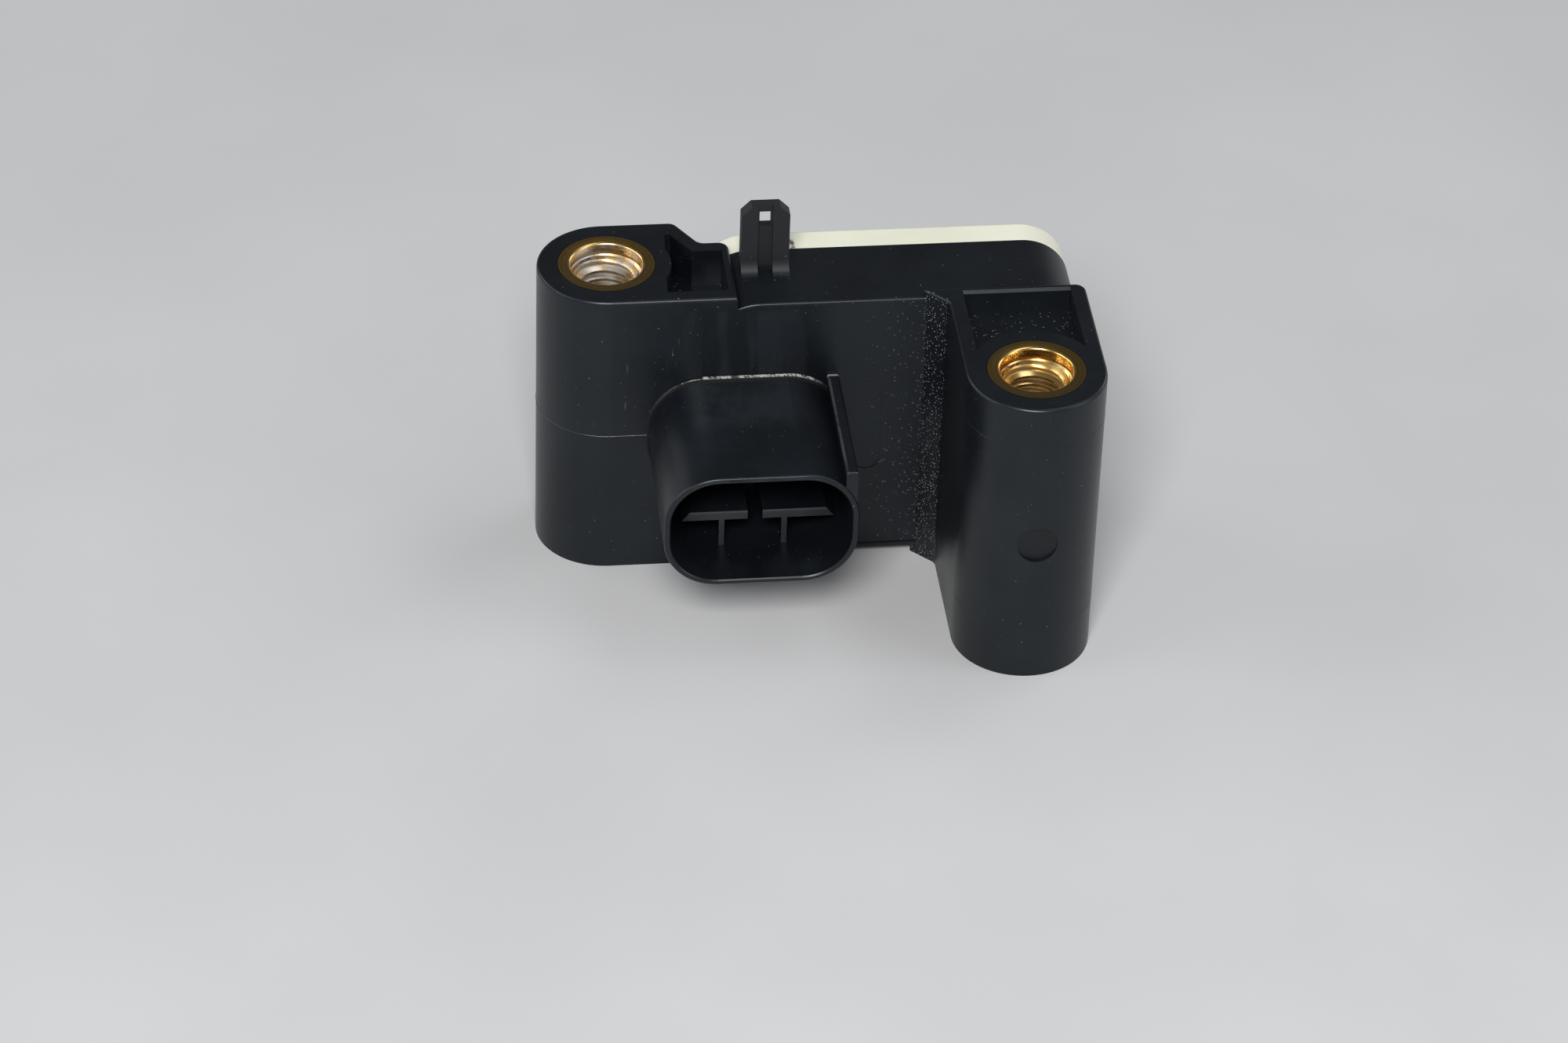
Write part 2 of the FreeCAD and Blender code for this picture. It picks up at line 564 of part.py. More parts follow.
def make_parts():
    """Every piece of the sensor by its node name."""
    terminals = [make_terminal(x, z) for x, z in zip(PIN_XS, TAIL_ZS)]
    parts = {
        "housing": make_housing(terminals),
        "left_bush": make_bush(0, 0),
        "right_bush": make_bush(RIGHT_X, RIGHT_Y),
        "rear_cover": make_cover(),
        "cover_seal": make_seal(),
        "circuit_board": make_board(),
        "solder_joints": make_solder(terminals),
        "accelerometer_chip": on_board(ACCEL_SIZE, ACCEL_X, ACCEL_Z, CHIP_LIFT),
        "accelerometer_leads": make_leads(ACCEL_SIZE, ACCEL_X, ACCEL_Z, ACCEL_LEAD_PITCH),
        "signal_chip": on_board(SIGNAL_SIZE, SIGNAL_X, SIGNAL_Z, CHIP_LIFT),
        "signal_chip_leads": make_leads(SIGNAL_SIZE, SIGNAL_X, SIGNAL_Z, SIGNAL_LEAD_PITCH),
        "suppressor": on_board(SUPPRESSOR_SIZE, SUPPRESSOR_X, SUPPRESSOR_Z),
    }
    for name, pin in zip(("terminal_supply", "terminal_signal", "terminal_ground"), terminals):
        parts[name] = pin
    for k in range(3):
        place = CAPACITOR_X + k * CAPACITOR_PITCH
        parts[f"capacitor_{k + 1}"] = on_board(CAPACITOR_SIZE, place, CAPACITOR_Z)
    for k in range(2):
        place = RESISTOR_X + k * RESISTOR_PITCH
        parts[f"resistor_{k + 1}"] = on_board(RESISTOR_SIZE, place, RESISTOR_Z)
    return parts


os.makedirs("parts", exist_ok=True)
for name, shape in make_parts().items():
    shape.exportStep(f"parts/{name}.step")
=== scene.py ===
"""Acceleration sensor: finishes, fine detail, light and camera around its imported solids."""

import math

import bmesh
import bpy
from mathutils import Matrix, Vector


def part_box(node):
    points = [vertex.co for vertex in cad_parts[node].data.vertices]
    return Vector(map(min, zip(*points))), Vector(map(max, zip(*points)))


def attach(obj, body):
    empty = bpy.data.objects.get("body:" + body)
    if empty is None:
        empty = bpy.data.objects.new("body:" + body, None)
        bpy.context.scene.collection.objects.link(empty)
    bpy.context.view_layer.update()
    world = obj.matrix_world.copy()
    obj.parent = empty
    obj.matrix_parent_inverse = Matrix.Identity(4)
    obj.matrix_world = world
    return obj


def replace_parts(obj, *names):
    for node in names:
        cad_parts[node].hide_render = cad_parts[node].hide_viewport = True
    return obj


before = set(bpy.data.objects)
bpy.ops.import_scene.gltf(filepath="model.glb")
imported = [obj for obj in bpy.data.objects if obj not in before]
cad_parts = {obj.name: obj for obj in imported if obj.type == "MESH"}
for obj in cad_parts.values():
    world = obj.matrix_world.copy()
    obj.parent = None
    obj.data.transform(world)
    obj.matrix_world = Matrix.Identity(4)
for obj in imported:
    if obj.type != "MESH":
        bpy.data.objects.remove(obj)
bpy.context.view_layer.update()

MM = 0.001

# Sizes repeated from the solids, in millimetres
HEIGHT = 41.6
BOSS_R = 8.9
LEFT_AXIS = (0.0, 0.0)
RIGHT_AXIS = (51.5, -27.0)
EJECTOR_R = 2.6
BUSH_R = 6.5
LEAD_IN_R = 4.6
GRIPS = (16.3, 25.3)
GRIP_R = 5.9
GRIP_HALF_MOUTH = 1.5
GRIP_HALF_FLOOR = 0.9
SHROUD_X = 17.25
SHROUD_Z = 20.8
SHROUD_WIDTH = 24.7
SHROUD_HEIGHT = 16.6
SHROUD_CORNER_R = 7.0

# The bushes' edges, mouths and threads, in millimetres; a mouth is growth past the lead-in and depth
BUSH_EDGE = 0.25
MOUTH_ROUNDING = ((0.28, 0.0), (0.11, 0.09), (0.02, 0.22), (0.0, 0.36))
CONE_START = 1.6
THREAD_CREST_R = 3.34
THREAD_ROOT_R = 4.06
THREAD_PITCH = 1.25
TOOTH_FOOT_R = THREAD_ROOT_R + 0.12
TOOTH_HALF_FOOT = 0.60
TOOTH_HALF_TIP = 0.10

# The mould's marks, in millimetres; the shroud's root is given as Y and growth past the shroud
SHROUD_ROOT = ((-9.75, -0.02), (-9.30, 0.04), (-9.01, 0.14), (-8.60, 0.42), (-8.60, -0.30))
PARTING = {"proud": 0.045, "sunk": 0.05, "half": 0.10}
PARTING_RUN = 5.2
SLIDE_LINE = {"proud": 0.016, "sunk": 0.04, "half": 0.12}
SLIDE_LINE_HEIGHTS = {"upper_slide_line": 35.6, "lower_slide_line": 7.4}

# Steps in a full turn of a bush and of its thread, round a corner of the shroud, and half round a boss
BUSH_STEPS = 112
THREAD_STEPS = 64
SHROUD_CORNER_STEPS = 14
RIDGE_STEPS = 56

# Points closer than this are merged, in metres
PIECE_MERGE = 1e-7
THREAD_MERGE = 1e-6

# Places where a finish changes: low, high and softness along each axis, in millimetres
SLANTED_STRIP = {"x": (40.1, 42.7, 0.3), "y": (-12.2, -8.4, 0.3)}
ARM_FLOOR = {"x": (41.0, 60.0, 0.5), "y": (-27.0, -8.5, 0.5), "z": (36.5, 39.5, 0.4)}
BLOCK_FLOOR = {"x": (4.0, 17.0, 0.5), "y": (-9.0, 8.0, 0.5), "z": (35.0, 37.5, 0.4)}
BOSS_SCUFFS = {"x": (-4.0, 11.0, 3.0), "z": (24.0, 36.0, 4.0)}
# The next two places hold painted sheen, on the plate above the shroud and on top of the shroud
PLATE_PAINTED_SHEEN = {"x": (8.0, 24.0, 2.5), "z": (28.0, 38.5, 2.0)}
SHROUD_PAINTED_SHEEN = {"x": (11.0, 23.5, 3.0), "y": (-17.5, -9.0, 3.5), "z": (28.4, 29.4, 0.2)}
LOCATING_TAB = {"x": (16.0, 24.2, 0.2), "y": (-4.6, 0.6, 0.2)}
CODING_RIB_TOP = {"z": (28.7, 29.3, 0.1)}
# A painted highlight runs along one top edge of the coding rib
CODING_RIB_HIGHLIGHT = {"x": (27.72, 28.02, 0.06)}
CODING_RIB_ROOT = {"x": (27.75, 29.25, 0.05)}
# The T ribs' fronts get painted light, with a painted highlight along their top edges
T_RIB_FRONT = {"y": (-23.2, -22.8, 0.1)}
T_RIB_TOP_HIGHLIGHT = {"z": (18.35, 18.75, 0.08)}
PARTING_PALE = {"x": (-1.0, 6.0, 3.0), "z": (20.6, 21.0, 0.2)}
COVER_RUB = {"x": (23.5, 24.5, 0.3), "y": (3.1, 5.4, 0.4)}

# Cells per metre that hold a grain of dust or a speck
DUST_SCALE = 3200.0
COVER_SPECK_SCALE = 900.0

# The first-pin mark on a chip: its distance from two edges, in millimetres
PIN_MARK_INSET = 1.1

# Colours of the small components' bodies
CAPACITOR_BROWN = (0.36, 0.25, 0.15)
RESISTOR_BLACK = (0.030, 0.030, 0.034)
SUPPRESSOR_BLACK = (0.045, 0.045, 0.048)

# Lamps: place and size in metres, power in watts, and colour
LAMP_AIM = (0.02, -0.01, 0.02)
WARM_WHITE = (1.0, 0.985, 0.96)
COOL_WHITE = (0.95, 0.97, 1.0)
SOFT_WHITE = (1.0, 0.99, 0.97)
LAMPS = {
    "soft_key": ((-0.14, -0.78, 0.74), (0.34, 0.26), 13.0, WARM_WHITE),
    "right_fill": ((0.85, -0.35, 0.45), (0.50, 0.60), 2.6, COOL_WHITE),
    "left_fill": ((-0.85, -0.15, 0.40), (0.50, 0.60), 2.6, COOL_WHITE),
    "high_side": ((0.55, 0.10, 1.30), (0.80, 0.50), 3.0, (1.0, 1.0, 1.0)),
    "back_left": ((-0.95, 0.55, 0.45), (0.60, 0.50), 2.8, SOFT_WHITE),
    "back_right": ((1.05, 0.60, 0.40), (0.60, 0.50), 2.4, SOFT_WHITE),
}

# The grey studio round the lamps, and half the table's width in metres
STUDIO_COLOUR = (0.62, 0.64, 0.67, 1.0)
STUDIO_STRENGTH = 0.19
TABLE_HALF = 4.0

# The camera's place and near limit in metres, its yaw, pitch and roll in degrees, its lens in millimetres
CAMERA_PLACE = (-0.05551, -0.59856, 0.44890)
CAMERA_TURN = (7.57, 36.67, -2.09)
CAMERA_LENS = 130.66
CAMERA_SENSOR = 36.0
CAMERA_NEAR = 0.01


class Value:
    """A shader socket that takes part in sums."""

    def __init__(self, finish, socket):
        self.finish = finish
        self.socket = socket

    def sum(self, operation, first, second):
        return self.finish.add("ShaderNodeMath", {"operation": operation}, {0: first, 1: second})

    def __add__(self, other):
        return self.sum("ADD", self, other)

    def __radd__(self, other):
        return self.sum("ADD", other, self)

    def __sub__(self, other):
        return self.sum("SUBTRACT", self, other)

    def __rsub__(self, other):
        return self.sum("SUBTRACT", other, self)

    def __mul__(self, other):
        return self.sum("MULTIPLY", self, other)

    def __rmul__(self, other):
        return self.sum("MULTIPLY", other, self)

    def __abs__(self):
        return self.sum("ABSOLUTE", self, 0.0)

    def root(self):
        return self.sum("POWER", self, 0.5)

    def least(self, other):
        return self.sum("MINIMUM", self, other)

    def most(self, other):
        return self.sum("MAXIMUM", self, other)

    def rise(self, low, high):
        """0 below low, 1 above high, eased between; low above high turns it round."""
        return self.finish.add(
            "ShaderNodeMapRange",
            {"interpolation_type": "SMOOTHSTEP", "clamp": True},
            {"Value": self, "From Min": low, "From Max": high, "To Min": 0.0, "To Max": 1.0},
        )

    def between(self, low, high, soft):
        return self.rise(low - soft, low) * self.rise(high + soft, high)


class Finish:
    """One material: any node comes from add, and coat closes it with its shader."""

    def __init__(self, name):
        self.material = bpy.data.materials.new(name)
        self.material.use_nodes = True
        self.tree = self.material.node_tree
        self.tree.nodes.clear()
        self.place = self.add("ShaderNodeTexCoord", {}, {}, "Object")

    def add(self, kind, settings, sockets, out=0):
        node = self.tree.nodes.new(kind)
        for key, setting in settings.items():
            setattr(node, key, setting)
        for key, given in sockets.items():
            if isinstance(given, Value):
                self.tree.links.new(given.socket, node.inputs[key])
            else:
                node.inputs[key].default_value = given
        return node if out is None else Value(self, node.outputs[out])

    def mapped(self, sockets):
        return self.add("ShaderNodeMapping", {"vector_type": "POINT"}, {"Vector": self.place, **sockets})

    def noise(self, scale, detail=3.0, rough=0.5):
        return self.add("ShaderNodeTexNoise", {},
                        {"Vector": self.place, "Scale": scale, "Detail": detail, "Roughness": rough})

    def drawn_noise(self, scales, detail, turn=(0.0, 0.0, 0.0)):
        """Noise with a scale of its own on each axis, which draws it out into streaks."""
        place = self.mapped({"Rotation": turn, "Scale": scales})
        return self.add("ShaderNodeTexNoise", {}, {"Vector": place, "Scale": 1.0, "Detail": detail})

    def tool_lines(self, along):
        """Noise that varies with one value only, as a turning tool leaves it."""
        return self.add("ShaderNodeTexNoise", {"noise_dimensions": "1D"},
                        {"W": along, "Scale": 1.0, "Detail": 2.0})

    def cells(self, scale, out="Distance"):
        return self.add("ShaderNodeTexVoronoi", {}, {"Vector": self.place, "Scale": scale}, out)

    def channel(self, colour, name):
        return self.add("ShaderNodeSeparateColor", {}, {"Color": colour}, name)

    def axes(self, centre=(0.0, 0.0, 0.0)):
        """Object X, Y and Z from a centre, in millimetres."""
        place = self.mapped({"Location": tuple(-c for c in centre), "Scale": (1 / MM, 1 / MM, 1 / MM)})
        return self.split(place)

    def facing(self):
        """The surface's own direction, as three values."""
        return self.split(self.add("ShaderNodeNewGeometry", {}, {}, "Normal"))

    def split(self, vector):
        node = self.add("ShaderNodeSeparateXYZ", {}, {0: vector}, None)
        return [Value(self, socket) for socket in node.outputs]

    def blend(self, factor, first, second):
        return self.add("ShaderNodeMix", {"data_type": "RGBA"}, {0: factor, 6: first, 7: second}, 2)

    def bump(self, height, depth, strength):
        return self.add("ShaderNodeBump", {}, {"Height": height, "Distance": depth, "Strength": strength})

    def coat(self, sockets):
        shader = self.add("ShaderNodeBsdfPrincipled", {}, sockets)
        self.add("ShaderNodeOutputMaterial", {}, {"Surface": shader}, None)
        return self.material


def rgb(red, green, blue):
    """An opaque colour."""
    return (red, green, blue, 1.0)


def distance(across, along):
    """How far a place is from the point where both values are 0."""
    return (across * across + along * along).root()


def within(zone, at):
    """1 inside a place where a finish changes and 0 outside it."""
    masks = [at["xyz".index(axis)].between(*limits) for axis, limits in zone.items()]
    return math.prod(masks[1:], start=masks[0])


def housing_dust(finish, at, facing):
    """Flecks on the slanted strip, on the plate beside it and on the pockets' floors."""
    x, y, z = at
    _, ny, nz = facing
    lot = finish.cells(DUST_SCALE, "Color")
    seed = finish.channel(lot, "Red")
    size = finish.channel(lot, "Green")
    fleck = finish.cells(DUST_SCALE).rise(0.34, 0.14) * (0.25 + 0.75 * size)
    strip = within(SLANTED_STRIP, at) * ny.rise(-0.2, -0.5) * (0.66 + 0.26 * z.rise(34.0, 10.0))
    plate_end = x.rise(32.0, 40.0) * x.rise(40.8, 40.3) * y.between(-9.2, -8.4, 0.2) * 0.20
    floors = (within(ARM_FLOOR, at) + within(BLOCK_FLOOR, at)) * nz.rise(0.4, 0.8) * 0.13
    share = (strip + plate_end + floors + 0.010).least(1.0)
    return fleck * (seed + share).rise(0.99, 1.02)


def housing_scuffs(finish, at, facing, flow):
    """Short scratches, thickest on the front of the left boss."""
    _, ny, _ = facing
    scratch = finish.drawn_noise((2600.0, 420.0, 300.0), 1.0, (0.0, 0.5, 0.35))
    handled = within(BOSS_SCUFFS, at) * ny.rise(-0.6, -0.9)
    return scratch.rise(0.70, 0.76) * (handled * 0.5 + 0.06) * flow.rise(0.45, 0.62)


def housing_painted_sheen(finish, at, facing, flow):
    """Painted sheen: paler streaks on the plate above the shroud and on top of the shroud, standing in for
    reflected light.
    """
    _, ny, nz = facing
    streak = finish.drawn_noise((330.0, 330.0, 45.0), 2.0)
    plate = within(PLATE_PAINTED_SHEEN, at) * ny.rise(-0.7, -0.95)
    shroud = within(SHROUD_PAINTED_SHEEN, at) * nz.rise(0.6, 0.9)
    return streak.rise(0.46, 0.60) * plate + flow.rise(0.25, 0.6) * shroud


def black_moulding(name):
    """Glass-filled black plastic with flow marks, scuffs and dust in its corners, painted sheen on the
    plate and the shroud's top, and painted light on the coding rib's edge and the T ribs' fronts.
    """
    finish = Finish(name)
    at = finish.axes()
    x, y, z = at
    facing = finish.facing()
    _, ny, _ = facing
    grain = finish.noise(5200.0, 2.0, 0.6)
    cloud = finish.noise(95.0, 4.0, 0.55)
    flow = finish.noise(260.0, 3.0, 0.6)
    dust = housing_dust(finish, at, facing)
    scuff = housing_scuffs(finish, at, facing, flow)
    # Painted sheen: paler colour on the plate and the shroud's top, standing in for reflected light
    sheen_painted = housing_painted_sheen(finish, at, facing, flow)

    from_mark = distance(x - RIGHT_AXIS[0], z - HEIGHT / 2)
    ejector = from_mark.rise(EJECTOR_R + 0.05, EJECTOR_R - 0.05) * y.rise(-34.5, -35.0)
    tab = within(LOCATING_TAB, at) * z.rise(40.5, 41.3)
    coding_top = within(CODING_RIB_TOP, at) * y.rise(-8.7, -8.8)
    # Painted highlight: a paler line along the coding rib's top edge
    coding_painted_highlight = coding_top * within(CODING_RIB_HIGHLIGHT, at) * flow.rise(0.30, 0.60)
    coding_root = coding_top * within(CODING_RIB_ROOT, at) * y.rise(-9.16, -9.08) * grain.rise(0.30, 0.50)
    # Painted light on the fronts of the T ribs, brightest as a painted highlight along their top edges
    rib_front = within(T_RIB_FRONT, at) * ny.rise(-0.6, -0.9)
    t_rib_painted_light = rib_front * (0.32 + 0.5 * within(T_RIB_TOP_HIGHLIGHT, at) + 0.2 * cloud.rise(0.4, 0.6))

    colour = finish.blend(cloud.rise(0.35, 0.68), rgb(0.0030, 0.0038, 0.0056), rgb(0.0048, 0.0060, 0.0084))
    layers = (
        (sheen_painted * 0.6, rgb(0.0120, 0.0138, 0.0175)),
        (ejector * 0.7, rgb(0.0018, 0.0020, 0.0026)),
        (tab * 0.8, rgb(0.0125, 0.0132, 0.0150)),
        (coding_painted_highlight * 0.7, rgb(0.050, 0.054, 0.058)),
        (coding_root * 0.8, rgb(0.26, 0.26, 0.27)),
        (t_rib_painted_light, rgb(0.040, 0.043, 0.047)),
        (scuff, rgb(0.075, 0.077, 0.082)),
        (dust * 0.9, rgb(0.30, 0.30, 0.29)),
    )
    for cover, tone in layers:
        colour = finish.blend(cover, colour, tone)
    gloss = 0.36 + (cloud - 0.5) * 0.16 + (grain - 0.5) * 0.10 + dust * 0.35 + scuff * 0.1 - sheen_painted * 0.06
    gloss = gloss + ejector * 0.14 + tab * 0.26
    relief = grain * 0.5 + flow * 0.5 + dust * 2.0 - scuff * 0.6
    return finish.coat({"Base Color": colour, "Roughness": gloss, "Specular IOR Level": 0.36,
                        "Specular Tint": rgb(0.86, 0.95, 1.0),
                        "Normal": finish.bump(relief, 0.000016, 0.55)})


def edge_flash(name):
    """Paler stretched plastic along a mould's parting edge."""
    finish = Finish(name)
    at = finish.axes()
    _, y, z = at
    torn = finish.noise(2600.0, 3.0, 0.6)
    patch = finish.noise(420.0, 2.0)
    shroud_top = z.rise(27.6, 28.9) * y.rise(-9.01, -8.95) * patch.rise(0.32, 0.48)
    seam = within(PARTING_PALE, at) * patch.rise(0.42, 0.60) * 0.5
    pale = (torn.rise(0.38, 0.56) * shroud_top + torn.rise(0.50, 0.66) * seam).least(1.0)
    colour = finish.blend(pale, rgb(0.0050, 0.0055, 0.0070), rgb(0.30, 0.30, 0.29))
    return finish.coat({"Base Color": colour, "Roughness": 0.42 + pale * 0.2,
                        "Normal": finish.bump(torn, 0.00002, 0.5)})


def brass(name, axis, wear):
    """Turned brass: fine tool lines, darker thread roots, rougher end faces painted dark as a painted
    reflection of dark surroundings, painted shade deeper down the bore, and grey where it is worn.
    """
    finish = Finish(name)
    x, y, z = finish.axes((*axis, 0.0))
    _, _, nz = finish.facing()
    radius = distance(x, y)
    upward = nz.rise(0.6, 0.9)
    turned = finish.tool_lines(radius * 7.0) * upward + finish.tool_lines(z * 6.0) * (1.0 - upward)
    patch = finish.noise(420.0, 4.0, 0.6)
    fine = finish.noise(2600.0, 3.0, 0.6)
    # Painted shade: darker deeper down the bore, from 3 mm below the top
    depth = (HEIGHT - z).rise(3.0, 14.0)
    # The end faces get a painted reflection: dark brown colour standing in for dark surroundings, and a
    # little rougher
    end = upward.most(nz.rise(-0.6, -0.9)) * radius.between(4.95, 6.22, 0.16)
    thread_root = radius.rise(3.75, 4.05) * (1.0 - radius.rise(4.1, 4.3))
    rubbed = (patch.rise(0.50 - 0.22 * wear, 0.62) * wear * (1.0 - radius.rise(4.62, 4.7))).least(1.0)
    # Darker thread roots and grime on worn bushes, together with the painted shade deeper down the bore
    dirt_and_shade = (thread_root * 0.45 + fine.rise(0.56, 0.70) * 0.30 * wear + depth * 0.30).least(1.0)
    clean = finish.blend(turned.rise(0.3, 0.7), rgb(0.68, 0.44, 0.14), rgb(0.84, 0.58, 0.22))
    grey = finish.blend(rubbed, clean, rgb(0.66, 0.62, 0.57))
    # Painted reflection: the end faces darkened to dark brown
    with_painted_reflection = finish.blend(end * (0.86 - 0.12 * turned), grey, rgb(0.150, 0.088, 0.022))
    colour = finish.blend(dirt_and_shade, with_painted_reflection, rgb(0.075, 0.042, 0.016))
    gloss = 0.17 + turned * 0.10 + patch * (0.10 * wear) + rubbed * 0.12 + dirt_and_shade * 0.20 + end * 0.10
    return finish.coat({"Base Color": colour, "Metallic": 1.0 - dirt_and_shade * 0.45, "Roughness": gloss,
                        "Normal": finish.bump(turned * 0.7 + patch * (0.5 * wear), 0.000012, 0.6)})


def cream_moulding(name):
    """Off-white cover plastic, faintly green, with a rub mark by the tab and a few dark specks."""
    finish = Finish(name)
    at = finish.axes()
    _, _, z = at
    grain = finish.noise(4200.0, 2.0, 0.6)
    cloud = finish.noise(70.0, 4.0, 0.5)
    lot = finish.channel(finish.cells(COVER_SPECK_SCALE, "Color"), "Red")
    speck = finish.cells(COVER_SPECK_SCALE).rise(0.20, 0.10) * lot.rise(0.975, 0.985)
    smudge = within(COVER_RUB, at) * z.rise(39.3, 39.9) * finish.noise(1100.0, 3.0, 0.6).rise(0.42, 0.52)
    body = finish.blend(cloud.rise(0.3, 0.7), rgb(0.60, 0.61, 0.50), rgb(0.66, 0.665, 0.565))
    colour = finish.blend((smudge * 0.9 + speck * 0.45).least(1.0), body, rgb(0.05, 0.048, 0.042))
    return finish.coat({"Base Color": colour, "Roughness": 0.42 + grain * 0.1, "IOR": 1.5,
                        "Normal": finish.bump(grain, 0.000014, 0.5)})


def soft_seal(name):
    """Matt black sealing rubber."""
    finish = Finish(name)
    grain = finish.noise(2400.0, 3.0, 0.6)
    colour = finish.blend(grain, rgb(0.020, 0.020, 0.022), rgb(0.038, 0.038, 0.040))
    return finish.coat({"Base Color": colour, "Roughness": 0.62 + grain * 0.2,
                        "Normal": finish.bump(grain, 0.00003, 0.6)})


def laminate(name):
    """Green lacquered board with lighter lacquer over its copper tracks and bare glass at its edges."""
    finish = Finish(name)
    _, ny, _ = finish.facing()
    black = rgb(0.0, 0.0, 0.0)
    tracks = finish.add("ShaderNodeTexBrick", {"offset": 0.37, "squash": 1.0},
                        {"Vector": finish.mapped({"Rotation": (math.pi / 2, 0.0, 0.0)}),
                         "Color1": black, "Color2": black, "Mortar": rgb(1.0, 1.0, 1.0), "Scale": 260.0,
                         "Mortar Size": 0.055, "Brick Width": 1.4, "Row Height": 0.42}, "Fac")
    weave = finish.noise(1800.0, 2.0)
    face = abs(ny).rise(0.7, 0.95)
    lacquer = finish.blend(tracks, rgb(0.012, 0.085, 0.030), rgb(0.030, 0.175, 0.060))
    edge = finish.blend(weave, rgb(0.28, 0.24, 0.12), rgb(0.42, 0.37, 0.20))
    colour = finish.blend(face, edge, lacquer)
    return finish.coat({"Base Color": colour, "Roughness": 0.32 + weave * 0.2,
                        "Normal": finish.bump(tracks + weave * 0.2, 0.00003, 0.5)})


def tin(name, warm=0.0):
    """Bright tin plate with a faint drawn grain."""
    finish = Finish(name)
    drawn = finish.drawn_noise((4200.0, 260.0, 4200.0), 2.0)
    patch = finish.noise(500.0, 3.0)
    colour = finish.blend(patch.rise(0.35, 0.7), rgb(0.60, 0.59 - warm * 0.1, 0.57 - warm * 0.3),
                          rgb(0.74, 0.73 - warm * 0.1, 0.71 - warm * 0.3))
    return finish.coat({"Base Color": colour, "Metallic": 1.0, "Roughness": 0.24 + drawn * 0.18,
                        "Normal": finish.bump(drawn, 0.000008, 0.5)})


def solder(name):
    """Grey solder with a frosted skin."""
    finish = Finish(name)
    frost = finish.noise(3000.0, 4.0, 0.6)
    colour = finish.blend(frost, rgb(0.48, 0.48, 0.49), rgb(0.66, 0.66, 0.67))
    return finish.coat({"Base Color": colour, "Metallic": 1.0, "Roughness": 0.25 + frost * 0.25,
                        "Normal": finish.bump(frost, 0.00003, 0.5)})


def chip_case(name, node):
    """Moulded epoxy with a round first-pin mark near one corner."""
    low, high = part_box(node)
    finish = Finish(name)
    x, _, z = finish.axes((low.x / MM + PIN_MARK_INSET, 0.0, high.z / MM - PIN_MARK_INSET))
    grain = finish.noise(5200.0, 3.0, 0.7)
    dot = distance(x, z).rise(0.42, 0.36)
    colour = finish.blend(grain, rgb(0.016, 0.016, 0.017), rgb(0.032, 0.032, 0.034))
    return finish.coat({"Base Color": colour, "Roughness": 0.58 - dot * 0.28 + grain * 0.1,
                        "Normal": finish.bump(grain * 0.3 - dot, 0.00005, 0.6)})


def end_capped(name, node, body):
    """A small component: coloured body with tinned caps at its two ends."""
    low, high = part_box(node)
    middle = [c / MM for c in (low + high) / 2]
    half_x = (high.x - low.x) / 2 / MM
    half_z = (high.z - low.z) / 2 / MM
    finish = Finish(name)
    x, _, z = finish.axes(middle)
    grain = finish.noise(4200.0, 3.0, 0.6)
    along = abs(x) if half_x >= half_z else abs(z)
    reach = max(half_x, half_z)
    cap = along.rise(reach * 0.68, reach * 0.72)
    base = finish.blend(grain, rgb(*[c * 0.82 for c in body]), rgb(*body))
    colour = finish.blend(cap, base, rgb(0.66, 0.65, 0.63))
    return finish.coat({"Base Color": colour, "Metallic": cap, "Roughness": 0.45 - cap * 0.15 + grain * 0.1,
                        "Normal": finish.bump(grain, 0.00001, 0.4)})


def table_top(name):
    """Plain pale matt table with a very faint mottle."""
    finish = Finish(name)
    mottle = finish.noise(18.0, 3.0)
    fine = finish.noise(900.0, 2.0)
    colour = finish.blend(mottle.rise(0.3, 0.7), rgb(0.440, 0.446, 0.458), rgb(0.465, 0.470, 0.482))
    return finish.coat({"Base Color": colour, "Roughness": 0.60 + fine * 0.1,
                        "Normal": finish.bump(fine, 0.00001, 0.2)})


def to_object(form, name, material):
    """Ends a form as an object in the scene with one material."""
    mesh = bpy.data.meshes.new(name)
    form.to_mesh(mesh)
    form.free()
    thing = bpy.data.objects.new(name, mesh)
    bpy.context.scene.collection.objects.link(thing)
    mesh.materials.append(material)
    return thing


def to_piece(form, name, material, crease=35.0):
    """Ends a form as a piece that rides on the sensor, smooth but for its creases."""
    bmesh.ops.remove_doubles(form, verts=form.verts, dist=PIECE_MERGE)
    bmesh.ops.recalc_face_normals(form, faces=form.faces)
    for face in form.faces:
        face.smooth = True
    piece = to_object(form, name, material)
    piece.data.set_sharp_from_angle(angle=math.radians(crease))
    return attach(piece, "root")


def spot(x, y, z):
    """A point or a shift, given in millimetres."""
    return Vector((x * MM, y * MM, z * MM))


def ring(form, points):
    """Vertices at these points, joined in a closed row; gives both as one list for an operator."""
    verts = [form.verts.new(p) for p in points]
    return verts + [form.edges.new(pair) for pair in zip(verts, verts[1:] + verts[:1])]


def only(kind, parts):
    """The parts of one kind, such as edges, from what an operator gives."""
    return [part for part in parts if isinstance(part, kind)]


def bush_section():
    """Half section of a bush, its thread's root as a plain bore, as radius and height."""
    outside = [(BUSH_R - BUSH_EDGE, 0.0), (BUSH_R, BUSH_EDGE)]
    for mid in GRIPS:
        outside += [(BUSH_R, mid - GRIP_HALF_MOUTH), (GRIP_R, mid - GRIP_HALF_FLOOR),
                    (GRIP_R, mid + GRIP_HALF_FLOOR), (BUSH_R, mid + GRIP_HALF_MOUTH)]
    outside += [(BUSH_R, HEIGHT - BUSH_EDGE), (BUSH_R - BUSH_EDGE, HEIGHT)]
    mouth = [(LEAD_IN_R + past, depth) for past, depth in MOUTH_ROUNDING]
    mouth += [(LEAD_IN_R, CONE_START), (THREAD_ROOT_R, CONE_START + LEAD_IN_R - THREAD_ROOT_R)]
    top = [(r, HEIGHT - z) for r, z in mouth]
    return outside + top + mouth[::-1]


